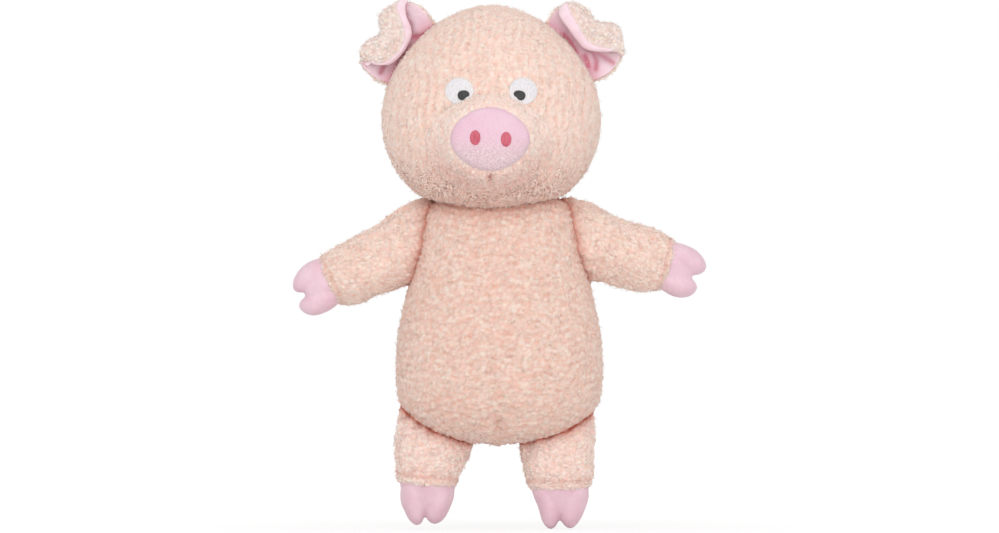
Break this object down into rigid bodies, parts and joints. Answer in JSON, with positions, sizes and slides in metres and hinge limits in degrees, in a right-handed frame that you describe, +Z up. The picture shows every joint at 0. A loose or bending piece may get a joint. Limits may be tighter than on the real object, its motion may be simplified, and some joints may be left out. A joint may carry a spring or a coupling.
{
  "type": "plush pig",
  "caption": "Stuffed toy pig of knitted pile fabric with velour snout, hooves and folded ears; head, arms, legs, ears and tail turn at their seams.",
  "frame": {"origin": "on the ground under the middle of the bounding box, at the level of the soles", "axes": "+Z up through the head, -Y out of the face, +X towards the pig's left"},
  "size_m": [0.2642, 0.1614, 0.3396],
  "materials": {
    "pile": "knitted pile",
    "velour": "short pink velour",
    "stuffing": "white fibre filling",
    "nostril_thread": "satin stitch",
    "white_thread": "satin stitch",
    "charcoal_thread": "satin stitch"
  },
  "bodies": {
    "body": {"body_cover": "pile", "body_stuffing": "stuffing"},
    "head": {"head_cover": "pile", "head_stuffing": "stuffing", "snout": "velour", "right_nostril": "nostril_thread", "left_nostril": "nostril_thread", "right_eye_white": "white_thread", "left_eye_white": "white_thread", "right_pupil": "charcoal_thread", "left_pupil": "charcoal_thread"},
    "right_arm": {"right_arm_sleeve": "pile", "right_arm_stuffing": "stuffing", "right_arm_hoof": "velour"},
    "right_leg": {"right_leg_sleeve": "pile", "right_leg_stuffing": "stuffing", "right_leg_hoof": "velour"},
    "left_arm": {"left_arm_sleeve": "pile", "left_arm_stuffing": "stuffing", "left_arm_hoof": "velour"},
    "left_leg": {"left_leg_sleeve": "pile", "left_leg_stuffing": "stuffing", "left_leg_hoof": "velour"},
    "right_ear": {"right_ear_back": "pile", "right_ear_lining": "velour"},
    "left_ear": {"left_ear_back": "pile", "left_ear_lining": "velour"},
    "tail": {"tail": "velour"}
  },
  "joints": [
    {"name": "neck_joint", "type": "hinge", "parent": "body", "child": "head", "pos_m": [-0.00606, 0.00165, 0.209], "axis": [0, 0, 1], "range_deg": [-30, 30], "stiffness_Nm_per_rad": 0.12},
    {"name": "right_arm_joint", "type": "hinge", "parent": "body", "child": "right_arm", "pos_m": [-0.05838, 0.00565, 0.18038], "axis": [0.2275, 0, 0.9738], "range_deg": [-60, 60], "stiffness_Nm_per_rad": 0.02},
    {"name": "left_arm_joint", "type": "hinge", "parent": "body", "child": "left_arm", "pos_m": [0.05526, 0.00565, 0.18038], "axis": [0.2275, 0, -0.9738], "range_deg": [-60, 60], "stiffness_Nm_per_rad": 0.02},
    {"name": "right_leg_joint", "type": "hinge", "parent": "body", "child": "right_leg", "pos_m": [-0.04168, 0.00565, 0.05737], "axis": [-0.8999, 0, 0.4361], "range_deg": [-35, 70], "stiffness_Nm_per_rad": 0.03},
    {"name": "left_leg_joint", "type": "hinge", "parent": "body", "child": "left_leg", "pos_m": [0.03856, 0.00565, 0.05737], "axis": [-0.8999, 0, -0.4361], "range_deg": [-35, 70], "stiffness_Nm_per_rad": 0.03},
    {"name": "right_ear_joint", "type": "hinge", "parent": "head", "child": "right_ear", "pos_m": [-0.06125, 0.00165, 0.30859], "axis": [0.6293, 0, 0.7772], "range_deg": [-45, 10], "stiffness_Nm_per_rad": 0.006},
    {"name": "left_ear_joint", "type": "hinge", "parent": "head", "child": "left_ear", "pos_m": [0.04913, 0.00165, 0.30859], "axis": [0.6293, 0, -0.7772], "range_deg": [-45, 10], "stiffness_Nm_per_rad": 0.006},
    {"name": "tail_joint", "type": "hinge", "parent": "body", "child": "tail", "pos_m": [-0.00156, 0.05574, 0.0854], "axis": [1, 0, 0], "range_deg": [-30, 30], "stiffness_Nm_per_rad": 0.006}
  ]
}
